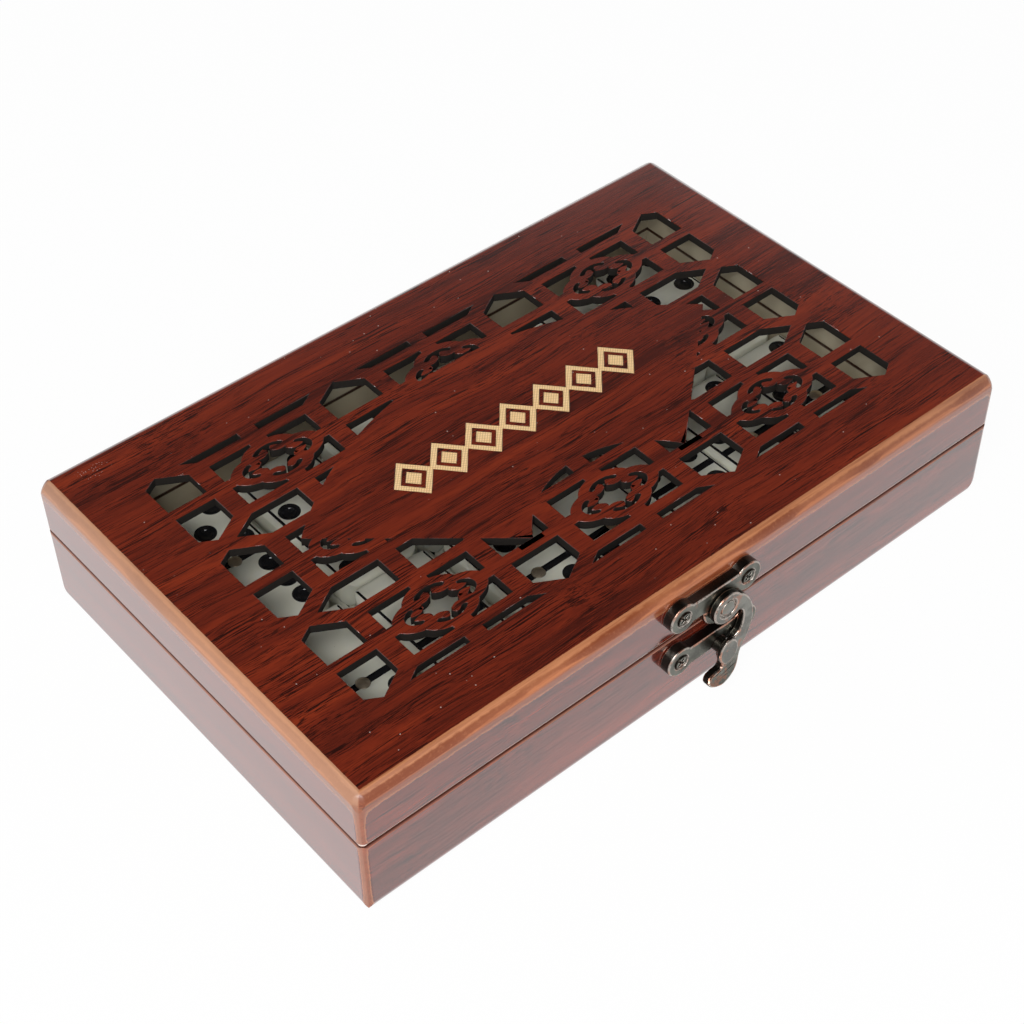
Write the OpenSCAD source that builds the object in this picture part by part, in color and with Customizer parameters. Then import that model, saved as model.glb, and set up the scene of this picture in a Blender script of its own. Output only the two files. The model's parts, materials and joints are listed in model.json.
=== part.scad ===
// Domino storage box: a wooden case with a hinged lattice lid, a swinging hook
// latch and a double-six set of dominoes packed inside in two layers.
// X runs along the box, the latch is on the -Y side, Z = 0 is the underside.

/* [Box] */
// Length of the box outside
box_l = 200; // [192:1:230]
// Width of the box outside
box_w = 125.4; // [120:0.2:150]
// Height of the base, from the underside to its rim
base_h = 23.4; // [22.6:0.2:30]
// Height of the lid, from its rim to its top
lid_h = 15.6; // [14.6:0.2:26]
// Gap between the two rims
rim_gap = 0.3; // [0.1:0.05:0.5]
// Thickness of the side walls
wall_t = 9; // [7:0.5:10]
// Rounding of the lid's top edge
edge_r = 2.7; // [2:0.1:3.5]
// Rounding of the upright corners
corner_r = 1.9; // [1:0.1:3]
// Rounding of the base's bottom edge
foot_r = 3; // [1:0.2:3.6]
// How much further than its edges' rounding each corner of the lid's top is sanded round
corner_reach = 2; // [1:0.1:2.5]
// How much further than its edges' rounding the foot's corners are sanded round
foot_reach = 3; // [1:0.1:3.2]
// Rounding of the two rims
rim_r = 0.8; // [0.3:0.1:1.2]
// Thickness of the floor board
floor_t = 4.8; // [3:0.2:5.2]
// How far the floor board reaches into its rebate in the walls
floor_seat = 4; // [2:0.5:5]
// Clearance of the floor board in its rebate
floor_clear = 0.1; // [0.05:0.05:0.2]

/* [Lattice lid] */
// Thickness of the lattice board on top of the lid
board_t = 2.4; // [2:0.2:4]
// Distance from the ends of the box to the pattern
field_end = 17.25; // [14:0.25:22]
// Distance from the long sides of the box to the pattern
field_side = 18.25; // [14:0.25:22]
// How far the pattern lies to the right of the lid's middle
pattern_dx = 0.6; // [-2:0.1:2]
// How far the pattern lies behind the lid's middle
pattern_dy = 0.4; // [-2:0.1:2]
// Lengthwise stretch of the whole pattern
stretch = 1.7; // [1.4:0.01:1.9]
// Half width of the square opening around a rosette
cell_half = 8.33; // [7.5:0.1:9]
// Width of the cross bars and of the diagonal bars
bar_w = 3.02; // [2.2:0.1:3.4]
// Half width of the six-sided openings
hex_half = 4.12; // [3.5:0.1:5]
// Radius of the four lobes of a rosette
lobe_r = 4.68; // [4.2:0.1:5.2]
// Distance of the lobes from the rosette's centre
lobe_out = 2.97; // [2.5:0.1:3.4]
// Half width of a rosette's square centre opening
eye_half = 3.0; // [2.4:0.1:3.2]
// Width of the four slits that lengthen the centre opening
eye_slit_w = 1.5; // [1:0.1:2]
// Reach of those slits from the centre
eye_slit_out = 5; // [4.9:0.05:5.2]
// Radius of the curved slot in each lobe, at its middle line
slot_r = 2.43; // [2:0.1:2.8]
// Width of the curved slots
slot_w = 0.95; // [0.6:0.05:1.2]

/* [Plaque] */
// Half length of the plaque between its side tips
plaque_tip_x = 64.4; // [55:0.2:70]
// Height of the side tips above the centre line
plaque_tip_y = 5.4; // [2:0.1:9]
// Top of the plaque's upper arc
plaque_crown = 30.7; // [26:0.1:33]
// Half distance between the two lower points
plaque_dip_x = 24.1; // [18:0.1:30]
// Depth of the two lower points below the centre line
plaque_dip_y = 29.6; // [25:0.1:33]
// Depth of the top of the lower arch below the centre line
plaque_arch_y = 16.4; // [12:0.1:20]
// Number of lozenges in the gilt inlay
lozenges = 7; // [3:2:9]
// Distance between the lozenges
lozenge_step = 10.8; // [9:0.1:12]
// Height of a lozenge
lozenge_h = 12.4; // [9:0.1:14]
// Width of the gilt line
inlay_line = 1.6; // [1:0.1:2]
// Height of the inlay row above the centre line
inlay_y = 4; // [-2:0.5:8]
// Thickness of the gilt inlay
inlay_t = 0.4; // [0.3:0.05:0.6]
// How deep the inlay lies below the surface
inlay_sink = 0.1; // [0.05:0.05:0.2]

/* [Latch] */
// Thickness of the latch plate and of the catch plate
plate_t = 3; // [2:0.1:3.5]
// Radius of the plates' round ends
plate_end_r = 4.1; // [3.5:0.1:4.5]
// Half distance between the screws of a plate
plate_screw_x = 10.15; // [9:0.05:13]
// Height of the plates' straight middle
plate_waist = 5.6; // [4:0.1:7]
// Place of the latch along the box, from its middle
latch_x = 0; // [-5:0.1:5]
// Height of the latch plate's screws above the lid's rim
latch_plate_up = 8.4; // [7.2:0.1:8.8]
// Depth of the catch plate's screws below the base's rim
catch_plate_down = 6; // [5.4:0.1:9]
// Sideways place of the pivot from the latch's middle
pivot_dx = 2; // [0:0.1:3]
// Height of the pivot above the lid's rim
pivot_up = 5; // [3.8:0.1:5.4]
// Radius of the boss around the pivot
boss_r = 5.8; // [5:0.1:6.2]
// Radius of the pivot rivet
rivet_r = 1.5; // [1.2:0.1:1.8]
// Radius of the rivet's head
rivet_head_r = 2.1; // [1.9:0.1:2.3]
// Running clearance of the hook on the rivet
rivet_clear = 0.05; // [0.03:0.01:0.1]
// Thickness of the hook
hook_t = 2; // [1.6:0.1:2.4]
// Gap between the hook and the plates behind it
hook_gap = 0.2; // [0.1:0.05:0.4]
// Radius of the hook's eye
eye_r = 4.5; // [4:0.1:5]
// Sideways place of the catch post from the latch's middle
post_dx = 1.7; // [0.5:0.1:2.5]
// Depth of the catch post below the base's rim
post_down = 8; // [7.6:0.1:9.5]
// Radius of the catch post
post_r = 1.9; // [1.5:0.1:2.1]
// Clearance of the hook around the post
crook_clear = 0.7; // [0.4:0.1:0.9]
// Half width of the post's oval head
post_head_r = 2.9; // [2.5:0.1:3.2]
// Height of the oval head in proportion to its width
post_head_oval = 1.33; // [1:0.01:1.4]
// Thickness of the oval head
post_head_t = 1.3; // [0.8:0.1:1.8]
// Bend radius of the hook's thumb lift
lift_bend_r = 5.9; // [5:0.1:12]

/* [Screws] */
// Head radius of the latch screws
screw_head_r = 1.93; // [1.6:0.05:2.2]
// Shank radius of the latch screws
screw_r = 0.9; // [0.7:0.05:1.1]
// Length of the latch screws
screw_l = 9; // [6:0.5:10]
// Head radius of the hinge screws
hinge_screw_head_r = 1.4; // [1.2:0.05:1.6]
// Shank radius of the hinge screws
hinge_screw_r = 0.75; // [0.6:0.05:0.9]
// Length of the hinge screws
hinge_screw_l = 6; // [4:0.5:7]
// Clearance of a screw in its hole
screw_clear = 0.03; // [0.02:0.01:0.06]

/* [Hinges] */
// Distance from each end of the box to the middle of its hinge
hinge_inset = 40; // [30:1:48]
// Length of a hinge
hinge_l = 20; // [16:1:26]
// Width of a hinge leaf, from the axis
leaf_w = 8; // [6.5:0.5:9]
// Thickness of a hinge leaf
leaf_t = 0.8; // [0.6:0.1:1]
// Outer radius of the knuckles
knuckle_r = 1.65; // [1.5:0.05:1.9]
// Gap between knuckles
knuckle_gap = 0.2; // [0.15:0.05:0.4]
// Radius of the hinge pin
hinge_pin_r = 0.8; // [0.6:0.05:0.9]
// Running clearance of the hinge pin
hinge_pin_clear = 0.04; // [0.03:0.01:0.1]

/* [Dominoes] */
// Spare length of the case beside each row of dominoes
spare_l = 18.8; // [12:0.2:24]
// Spare width of the case beside the two rows
spare_w = 9.1; // [6:0.1:12]
// How far the dominoes lie behind the middle of the case
tiles_dy = 0.4; // [-1:0.1:1]
// Thickness of a domino
tile_t = 7.8; // [6.5:0.1:8]
// Corner radius of a domino seen from above
tile_corner_r = 4.5; // [2:0.1:6]
// Rounding of a domino's faces into its edges
tile_edge_r = 2.2; // [1:0.1:3]
// Diameter of a pip
pip_d = 5.7; // [4:0.1:6]
// Depth of a pip
pip_deep = 0.8; // [0.4:0.1:1]
// Distance of the outer pips from the domino's edges
pip_margin = 5.3; // [5:0.1:5.6]
// How far the pips of each half lie outwards from the half's middle
pip_shift = 0.15; // [0:0.05:0.3]
// Distance of the bar between the halves from the domino's long edges
bar_margin = 2; // [1.7:0.1:4]
// Width of that bar
bar_t = 2; // [1:0.1:2.4]
// Depth of that bar
bar_deep = 0.5; // [0.3:0.1:0.7]
// Radius of the spinner's brass head
spinner_head_r = 1.75; // [1.4:0.05:2]
// Radius of the spinner's shank
spinner_r = 0.9; // [0.7:0.05:1.1]
// Length of the spinner's shank
spinner_l = 4.5; // [3:0.5:5]
// How far the spinner's domed head stands out of the domino
spinner_rise = 0.4; // [0.2:0.05:0.5]
// Clearance of the spinner in its hole
spinner_clear = 0.05; // [0.02:0.01:0.1]

/* [Hidden] */
$fn = 48;
e = 0.01;

// levels of the case
lid_z = base_h + rim_gap;
top_z = lid_z + lid_h;
board_z = top_z - board_t;
parting_z = base_h + rim_gap / 2;
inner_l = box_l - 2 * wall_t;
inner_w = box_w - 2 * wall_t;
front_y = -box_w / 2;
back_y = box_w / 2;

// lattice
field_l = box_l - 2 * field_end;
field_w = box_w - 2 * field_side;
pitch = 2 * (cell_half + bar_w + hex_half);
hex_apex = pitch / 2 - bar_w / sqrt(2);
columns = ceil(field_l / 2 / (pitch * stretch));
rows = ceil(field_w / 2 / pitch);
slot_centre = lobe_out - 0.1;
slot_from = 33;

// plaque arcs through three points each
crown_rise = plaque_crown - plaque_tip_y;
crown_r = (pow(plaque_tip_x, 2) + pow(crown_rise, 2)) / (2 * crown_rise);
arch_rise = plaque_dip_y - plaque_arch_y;
arch_r = (pow(plaque_dip_x, 2) + pow(arch_rise, 2)) / (2 * arch_rise);
inlay_deep = inlay_t + inlay_sink;
inlay_clear = 0.05;

// latch
latch_plate_z = lid_z + latch_plate_up;
catch_plate_z = base_h - catch_plate_down;
pivot = [latch_x + pivot_dx, lid_z + pivot_up];
post = [latch_x + post_dx, base_h - post_down];
hook_back = plate_t + hook_gap;
hook_front = hook_back + hook_t;
rivet_head_t = 0.8;
rivet_recess_r = rivet_head_r + 0.5;
post_head_gap = 0.3;
relief = 0.3;
drop = pivot[1] - post[1];
lift_z = post[1] - post_head_r * post_head_oval - 0.2;
crook_r = post_r + crook_clear;
recess_slot_w = 0.55;
hook_reach = hook_front + drop;

// hinges
hinge_x = box_l / 2 - hinge_inset;
hinge_y = back_y + knuckle_r + 0.25;
knuckle_l = (hinge_l - 2 * knuckle_gap) / 3;
leaf_cut = knuckle_r + 0.15;
leaf_screw_x = hinge_l / 2 - 4;
leaf_screw_z = (leaf_w + leaf_cut) / 2;
pin_head_r = hinge_pin_r + 0.4;
pin_head_t = 0.4;

// Dominoes: [far half, near half] by layer, then row (back, front), then column
TILES = [
    [[[0, 0], [1, 3], [2, 5], [4, 6], [0, 2], [5, 5], [1, 6]],
     [[4, 4], [0, 5], [6, 6], [0, 1], [3, 6], [2, 3], [4, 5]]],
    [[[5, 6], [2, 4], [3, 3], [1, 5], [2, 6], [0, 3], [4, 1]],
     [[0, 4], [1, 1], [1, 2], [0, 6], [5, 3], [4, 3], [2, 2]]],
];
tile_columns = len(TILES[0][0]);
// How the spare length is shared out: before each column of dominoes, from the left
SPARE_SHARES = [0.452, 0.154, 0.159, 0.048, 0.048, 0.012, 0.037];
tile_w = (inner_l - spare_l) / tile_columns;
tile_l = (inner_w - spare_w) / 2;
pip_x = tile_w / 2 - pip_margin;
half_y = tile_l / 4 + pip_shift;
pip_y = tile_l / 2 - pip_margin - half_y;
bar_l = tile_w - 2 * bar_margin;
row_gap_share = 0.08;
// How far each upper domino lies off its row, in shares of the spare width
SHIFTS = [[0.03, -0.02, 0.05, 0, 0.03, -0.02, 0.04], [-0.03, 0.02, -0.05, -0.01, 0.02, -0.04, 0]];
pip_ball = (pow(pip_d / 2, 2) + pow(pip_deep, 2)) / (2 * pip_deep);
spinner_seat = 0.3;
layer_h = tile_t + spinner_rise;

function tile_name(v) = str("domino_", min(v), "_", max(v));
TILE_NODES = [for (layer = TILES, row = layer, v = row) tile_name(v)];

// ---- general shapes ----

// Rectangle with its lower corners rounded by r_low and its upper ones by r_high
module round_rect(l, h, r_low, r_high) {
    translate([-l / 2, r_low]) square([l, h - r_low - r_high]);
    translate([-l / 2 + r_low, 0]) square([l - 2 * r_low, h / 2]);
    translate([-l / 2 + r_high, h / 2]) square([l - 2 * r_high, h / 2]);
    for (s = [-1, 1]) {
        translate([s * (l / 2 - r_low), r_low]) circle(r_low);
        translate([s * (l / 2 - r_high), h - r_high]) circle(r_high);
    }
}

// Block standing on Z = 0 with rounded upright, lower and upper edges
module round_block(l, w, h, r_side, r_low, r_high) {
    intersection() {
        linear_extrude(h) translate([0, -w / 2]) round_rect(l, w, r_side, r_side);
        translate([0, w / 2, 0]) rotate([90, 0, 0]) linear_extrude(w) round_rect(l, h, r_low, r_high);
        translate([-l / 2, 0, 0]) rotate([90, 0, 90]) linear_extrude(l) round_rect(w, h, r_low, r_high);
    }
}

// What the sanding takes off these corners, [x side, y side] each, at one end of the case; r is the rounding of the
// edges there
module sanded_corners(r, reach, corners) {
    c = r + reach;
    ball = max(sqrt(2) * reach + r, sqrt(2) * c - (sqrt(2) - 1) * corner_r) + 0.04;
    for (k = corners) translate([k[0] * (box_l / 2 - c), k[1] * (box_w / 2 - c), -c]) difference() {
        translate([k[0] > 0 ? 0 : -c - 1, k[1] > 0 ? 0 : -c - 1, 0]) cube(c + 1);
        sphere(ball);
    }
}

// Turns a shape that points along +Z so that it points out of the front face
module on_front(x, z, out) {
    translate([x, front_y - out, z]) rotate([90, 0, 0]) children();
}

// Turns a shape that points along +Z so that it points out of the back face
module on_back(x, z, out) {
    translate([x, back_y + out, z]) rotate([-90, 0, 0]) children();
}

// Countersunk cross-head screw, its head at Z = 0 and its point below
module screw(head_r, r, l) {
    cone_h = head_r - r;
    difference() {
        union() {
            translate([0, 0, -cone_h]) cylinder(h = cone_h, r1 = r, r2 = head_r);
            translate([0, 0, -l + r]) cylinder(h = l - r, r = r);
            translate([0, 0, -l]) cylinder(h = r, r1 = 0.1, r2 = r);
        }
        for (a = [45, 135]) rotate(a) translate([-head_r * 0.65, -recess_slot_w / 2, -cone_h * 0.8])
            cube([head_r * 1.3, recess_slot_w, cone_h]);
    }
}

// The hole that such a screw needs
module screw_hole(head_r, r, l) {
    cone_h = head_r - r;
    translate([0, 0, -cone_h]) cylinder(h = cone_h, r1 = r + screw_clear, r2 = head_r + screw_clear);
    translate([0, 0, -e]) cylinder(h = 2, r = head_r + screw_clear);
    translate([0, 0, -l - 0.3]) cylinder(h = l, r = r + screw_clear);
}

// ---- places of the fasteners ----

module at_latch_plate_screws() {
    for (s = [-1, 1]) on_front(latch_x + s * plate_screw_x, latch_plate_z, plate_t) children();
}

module at_catch_plate_screws() {
    for (s = [-1, 1]) on_front(latch_x + s * plate_screw_x, catch_plate_z, plate_t) children();
}

module at_hinge_screws(up) {
    for (s = [-1, 1], t = [-1, 1])
        on_back(s * hinge_x + t * leaf_screw_x, parting_z + up * leaf_screw_z, leaf_t) children();
}

module latch_screw_hole() {
    screw_hole(screw_head_r, screw_r, screw_l);
}

module hinge_screw_hole() {
    screw_hole(hinge_screw_head_r, hinge_screw_r, hinge_screw_l);
}

// ---- case ----

// Wedge of the plan between two mitre lines; side 0 is the front, then right, back, left
module mitre_wedge(side, h) {
    half_l = box_l / 2;
    half_w = box_w / 2;
    ridge = half_l - half_w;
    corners = [[-half_l, -half_w], [half_l, -half_w], [half_l, half_w], [-half_l, half_w]];
    ends = [[-ridge, 0], [ridge, 0]];
    outline = side == 0 ? [corners[0], corners[1], ends[1], ends[0]]
            : side == 1 ? [corners[1], corners[2], ends[1]]
            : side == 2 ? [corners[2], corners[3], ends[0], ends[1]]
            : [corners[3], corners[0], ends[0]];
    linear_extrude(h) polygon(outline);
}

module base_wall(side) {
    color([0.42, 0.17, 0.13]) difference() {
        intersection() {
            round_block(box_l, box_w, base_h, corner_r, foot_r, rim_r);
            mitre_wedge(side, base_h);
        }
        // The turn swaps front and back; the foot's front left corner keeps its point
        rotate([180, 0, 0]) sanded_corners(foot_r, foot_reach, [[-1, -1], [1, -1], [1, 1]]);
        translate([-inner_l / 2, -inner_w / 2, -e]) cube([inner_l, inner_w, base_h + 1]);
        translate([-inner_l / 2 - floor_seat, -inner_w / 2 - floor_seat, -e])
            cube([inner_l + 2 * floor_seat, inner_w + 2 * floor_seat, floor_t + floor_clear + e]);
        at_catch_plate_screws() latch_screw_hole();
        at_hinge_screws(-1) hinge_screw_hole();
    }
}

module base_floor() {
    l = inner_l + 2 * floor_seat - 2 * floor_clear;
    w = inner_w + 2 * floor_seat - 2 * floor_clear;
    color([0.35, 0.24, 0.18]) translate([-l / 2, -w / 2, 0]) cube([l, w, floor_t]);
}

module lid_block() {
    difference() {
        translate([0, 0, lid_z]) round_block(box_l, box_w, lid_h, corner_r, rim_r, edge_r);
        translate([0, 0, top_z]) sanded_corners(edge_r, corner_reach, [[-1, -1], [1, -1], [1, 1], [-1, 1]]);
    }
}

module lid_wall(side) {
    color([0.42, 0.17, 0.13]) difference() {
        intersection() {
            lid_block();
            translate([0, 0, lid_z]) mitre_wedge(side, lid_h - board_t);
        }
        translate([-inner_l / 2, -inner_w / 2, lid_z - 1]) cube([inner_l, inner_w, lid_h]);
        at_latch_plate_screws() latch_screw_hole();
        at_hinge_screws(1) hinge_screw_hole();
    }
}

// ---- lattice board ----

module four_ways() {
    for (a = [0, 90, 180, 270]) rotate(a) children();
}

// One quarter of the slot pattern: a curved slot with round ends
module lobe_slot() {
    end = slot_r * [cos(slot_from), sin(slot_from)];
    translate([0, slot_centre]) {
        difference() {
            circle(slot_r + slot_w / 2);
            circle(slot_r - slot_w / 2);
            polygon([[0, 0], 3 * end, [3 * end[0], -9], [-3 * end[0], -9], [-3 * end[0], 3 * end[1]]]);
        }
        for (s = [-1, 1]) translate([s * end[0], end[1]]) circle(slot_w / 2);
    }
}

// The rosette's centre opening, with four curls biting into it
module eye_opening() {
    difference() {
        union() {
            square(2 * eye_half, center = true);
            square([eye_slit_w, 2 * eye_slit_out], center = true);
            square([2 * eye_slit_out, eye_slit_w], center = true);
        }
        four_ways() for (s = [-1, 1]) {
            translate([s * 1.8, 3.72]) circle(1.54);
            translate([s * 1.16, 3.57]) circle(1);
        }
    }
}

// Everything cut away inside one square cell
module rosette_window() {
    difference() {
        square(2 * cell_half, center = true);
        square([2 * cell_half, bar_w], center = true);
        square([bar_w, 2 * cell_half], center = true);
        four_ways() translate([0, lobe_out]) circle(lobe_r);
    }
    four_ways() lobe_slot();
    eye_opening();
}

// Six-sided opening standing between two cells, split by a cross bar
module hex_window() {
    shoulder = hex_apex - hex_half;
    difference() {
        polygon([
            [0, hex_apex], [hex_half, shoulder], [hex_half, -shoulder],
            [0, -hex_apex], [-hex_half, -shoulder], [-hex_half, shoulder]
        ]);
        square([2 * hex_half + 1, bar_w], center = true);
    }
}

// The plaque is bounded by its upper arc, two straight sides and its lower arch
module plaque_outline() {
    tip = [plaque_tip_x, plaque_tip_y];
    dip = [plaque_dip_x, -plaque_dip_y];
    high = dip + 1.3 * (tip - dip);
    low = dip - 0.3 * (tip - dip);
    difference() {
        intersection() {
            translate([0, plaque_crown - crown_r]) circle(crown_r, $fn = 200);
            polygon([
                [-high[0], plaque_crown + 5], [-high[0], high[1]], [-low[0], low[1]],
                low, high, [high[0], plaque_crown + 5]
            ]);
        }
        translate([0, -plaque_arch_y - arch_r]) circle(arch_r, $fn = 120);
    }
}

module lattice_windows() {
    difference() {
        intersection() {
            square([field_l, field_w], center = true);
            scale([stretch, 1]) union() {
                for (i = [-columns:columns], j = [-rows:rows])
                    if (i != 0 || j != 0) translate([i * pitch, j * pitch]) rosette_window();
                for (i = [-columns - 1:columns], j = [-rows:rows])
                    translate([(i + 0.5) * pitch, j * pitch]) hex_window();
                for (i = [-columns:columns], j = [-rows - 1:rows])
                    translate([i * pitch, (j + 0.5) * pitch]) rotate(90) hex_window();
            }
        }
        plaque_outline();
    }
}

// A row of places for the lozenges, centred on the plaque
module at_lozenges() {
    for (i = [0:lozenges - 1])
        translate([(i - (lozenges - 1) / 2) * lozenge_step, inlay_y]) children();
}

module lozenge(grow) {
    half_w = lozenge_step / 2 + grow * 1.2;
    half_h = lozenge_h / 2 + grow * 1.4;
    polygon([[half_w, 0], [0, half_h], [-half_w, 0], [0, -half_h]]);
}

// Lozenge rings that touch tip to tip and make one chain
module chain_outline(grow) {
    at_lozenges() difference() {
        lozenge(inlay_line / 4 + grow);
        lozenge(-inlay_line * 0.75 - grow);
    }
}

module small_lozenges_outline(grow) {
    at_lozenges() lozenge(-inlay_line * 1.55 + grow);
}

module lattice_board() {
    color([0.38, 0.12, 0.1]) difference() {
        intersection() {
            lid_block();
            translate([-box_l, -box_w, board_z]) cube([2 * box_l, 2 * box_w, board_t + 1]);
        }
        translate([pattern_dx, pattern_dy, board_z - 1]) linear_extrude(board_t + 2) lattice_windows();
        translate([pattern_dx, pattern_dy, top_z - inlay_deep]) linear_extrude(1) {
            chain_outline(inlay_clear);
            small_lozenges_outline(inlay_clear);
        }
    }
}

module inlay_chain() {
    color([0.83, 0.68, 0.35]) translate([pattern_dx, pattern_dy, top_z - inlay_deep])
        linear_extrude(inlay_t) chain_outline(0);
}

module inlay_lozenges() {
    color([0.83, 0.68, 0.35]) translate([pattern_dx, pattern_dy, top_z - inlay_deep])
        linear_extrude(inlay_t) small_lozenges_outline(0);
}

// ---- latch ----

// Dog-bone plate standing out of the front face by plate_t
module dog_bone(z) {
    on_front(latch_x, z, 0) linear_extrude(plate_t) {
        for (s = [-1, 1]) translate([s * plate_screw_x, 0]) circle(plate_end_r);
        square([2 * plate_screw_x, plate_waist], center = true);
    }
}

module latch_plate() {
    color([0.3, 0.24, 0.2]) difference() {
        union() {
            dog_bone(latch_plate_z);
            on_front(pivot[0], pivot[1], 0) cylinder(h = plate_t, r = boss_r);
        }
        at_latch_plate_screws() latch_screw_hole();
        on_front(pivot[0], pivot[1], -1) cylinder(h = plate_t + 2, r = rivet_r + screw_clear);
        translate([pivot[0] - 2 * boss_r, front_y - relief, lid_z + relief - 2 * boss_r])
            cube([4 * boss_r, 1, 2 * boss_r]);
    }
}

module latch_plate_screws() {
    color([0.32, 0.28, 0.25]) at_latch_plate_screws() screw(screw_head_r, screw_r, screw_l);
}

module latch_rivet() {
    color([0.35, 0.27, 0.22]) on_front(pivot[0], pivot[1], 0) {
        cylinder(h = hook_front - rivet_head_t / 2, r = rivet_r);
        translate([0, 0, hook_front - rivet_head_t + 0.1]) cylinder(h = rivet_head_t / 2, r = rivet_head_r);
        translate([0, 0, hook_front - rivet_head_t / 2 + 0.1])
            cylinder(h = rivet_head_t / 2, r1 = rivet_head_r, r2 = rivet_head_r * 0.7);
    }
}

// Point on a smooth curve through four points
function curve(p0, p1, p2, p3, t) =
    0.5 * (2 * p1 + (p2 - p0) * t + (2 * p0 - 5 * p1 + 4 * p2 - p3) * t * t
    + (3 * p1 - p0 - 3 * p2 + p3) * t * t * t);
function smooth(p, steps) =
    let (n = len(p))
    [for (i = [0:n - 1], k = [0:steps - 1]) curve(p[(i + n - 1) % n], p[i], p[(i + 1) % n], p[(i + 2) % n], k / steps)];

// Outline of the hook from its pivot: out and down the back of the arm, around
// the thumb lift's end, into the crook and up the inside of the arm.
// Places are in shares of the drop from the pivot to the post.
HOOK_BACK = [
    [0.163, 0.2], [0.393, 0.1], [0.585, -0.22], [0.652, -0.54], [0.607, -0.92], [0.444, -1.27],
    [0.304, -1.53], [0.126, -1.65], [-0.163, -1.71], [-0.385, -1.67]
];
HOOK_LIFT = [[-0.452, -1.61], [-0.393, -1.53], [-0.267, -1.49], [-0.104, -1.47], [-0.052, -1.38]];
HOOK_INSIDE = [
    [0.244, -0.87], [0.341, -0.8], [0.4, -0.55], [0.37, -0.32], [0.222, -0.18], [0.074, -0.05],
    [0.059, 0.1]
];
function shares(list) = [for (p = list) p * drop];
crook = [for (a = [-110, -75, -35, 5]) post - pivot + crook_r * [cos(a), sin(a)]];

module arm_outline() {
    polygon(smooth(concat(shares(HOOK_BACK), shares(HOOK_LIFT), crook, shares(HOOK_INSIDE)), 5));
}

// Distance of the hook's front and back from the front face, at height z
function lift(z) = z < lift_z ? pow(lift_z - z, 2) / (2 * lift_bend_r) : 0;
function lift_slope(z) = z < lift_z ? (lift_z - z) / lift_bend_r : 0;
function hook_near(z) = hook_front + lift(z);
function hook_far(z) = hook_front + lift(z) - hook_t * sqrt(1 + pow(lift_slope(z), 2));

// Side view of the bent sheet that the hook is cut from
module hook_sheet() {
    high = pivot[1] + boss_r;
    low = pivot[1] - 1.9 * drop;
    levels = concat([high], [for (k = [0:8]) lift_z + (low - lift_z) * k / 8]);
    polygon(concat(
        [for (z = levels) [hook_near(z), z]],
        [for (k = [len(levels) - 1:-1:0]) [hook_far(levels[k]), levels[k]]]
    ));
}

module latch_hook() {
    color([0.45, 0.33, 0.28]) difference() {
        union() {
            intersection() {
                on_front(pivot[0], pivot[1], 0) linear_extrude(hook_reach) arm_outline();
                translate([-box_l / 2, front_y, 0]) rotate([90, 0, 90]) linear_extrude(box_l)
                    mirror([1, 0]) hook_sheet();
            }
            on_front(pivot[0], pivot[1], hook_back) cylinder(h = hook_t, r = eye_r);
        }
        on_front(pivot[0], pivot[1], 0) cylinder(h = hook_reach, r = rivet_r + rivet_clear);
        on_front(pivot[0], pivot[1], hook_front - rivet_head_t) cylinder(h = hook_reach, r = rivet_recess_r);
    }
}

module catch_plate() {
    color([0.3, 0.24, 0.2]) difference() {
        dog_bone(catch_plate_z);
        at_catch_plate_screws() latch_screw_hole();
        on_front(post[0], post[1], -1) cylinder(h = plate_t + 2, r = post_r + screw_clear);
    }
}

module catch_plate_screws() {
    color([0.32, 0.28, 0.25]) at_catch_plate_screws() screw(screw_head_r, screw_r, screw_l);
}

module catch_post() {
    head_from = hook_front + post_head_gap;
    color([0.45, 0.33, 0.28]) on_front(post[0], post[1], 0) {
        cylinder(h = head_from + e, r = post_r);
        translate([0, 0, head_from]) linear_extrude(post_head_t) scale([1, post_head_oval]) circle(post_head_r);
    }
}

// ---- hinges ----

// One leaf; side -1 lies on the base and carries the outer knuckles, side 1 lies
// on the lid and carries the middle one
module hinge_leaf(x, side) {
    knuckles = side < 0 ? [-1, 1] : [0];
    others = side < 0 ? [0] : [-1, 1];
    step = knuckle_l + knuckle_gap;
    color([0.72, 0.55, 0.3]) difference() {
        union() {
            translate([x - hinge_l / 2, back_y, parting_z + (side < 0 ? -leaf_w : 0)])
                cube([hinge_l, leaf_t, leaf_w]);
            for (k = knuckles) translate([x + k * step - knuckle_l / 2, hinge_y, parting_z])
                rotate([0, 90, 0]) cylinder(h = knuckle_l, r = knuckle_r);
        }
        for (k = others) translate([
            x + k * step - knuckle_l / 2 - knuckle_gap, back_y - 1, parting_z - leaf_cut
        ]) cube([knuckle_l + 2 * knuckle_gap, 9, 2 * leaf_cut]);
        translate([x - hinge_l, hinge_y, parting_z]) rotate([0, 90, 0])
            cylinder(h = 2 * hinge_l, r = hinge_pin_r + hinge_pin_clear);
        at_hinge_screws(side) hinge_screw_hole();
    }
}

module hinge_pin(x) {
    color([0.78, 0.62, 0.36]) translate([x, hinge_y, parting_z]) rotate([0, 90, 0]) {
        translate([0, 0, -hinge_l / 2 - 0.1]) cylinder(h = hinge_l + 0.2, r = hinge_pin_r);
        translate([0, 0, hinge_l / 2 + 0.05]) cylinder(h = pin_head_t, r = pin_head_r);
        translate([0, 0, -hinge_l / 2 - 0.05 - pin_head_t]) cylinder(h = pin_head_t, r = pin_head_r);
    }
}

module hinge_screws(up) {
    color([0.72, 0.55, 0.3]) at_hinge_screws(up)
        screw(hinge_screw_head_r, hinge_screw_r, hinge_screw_l);
}

// ---- dominoes ----

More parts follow.
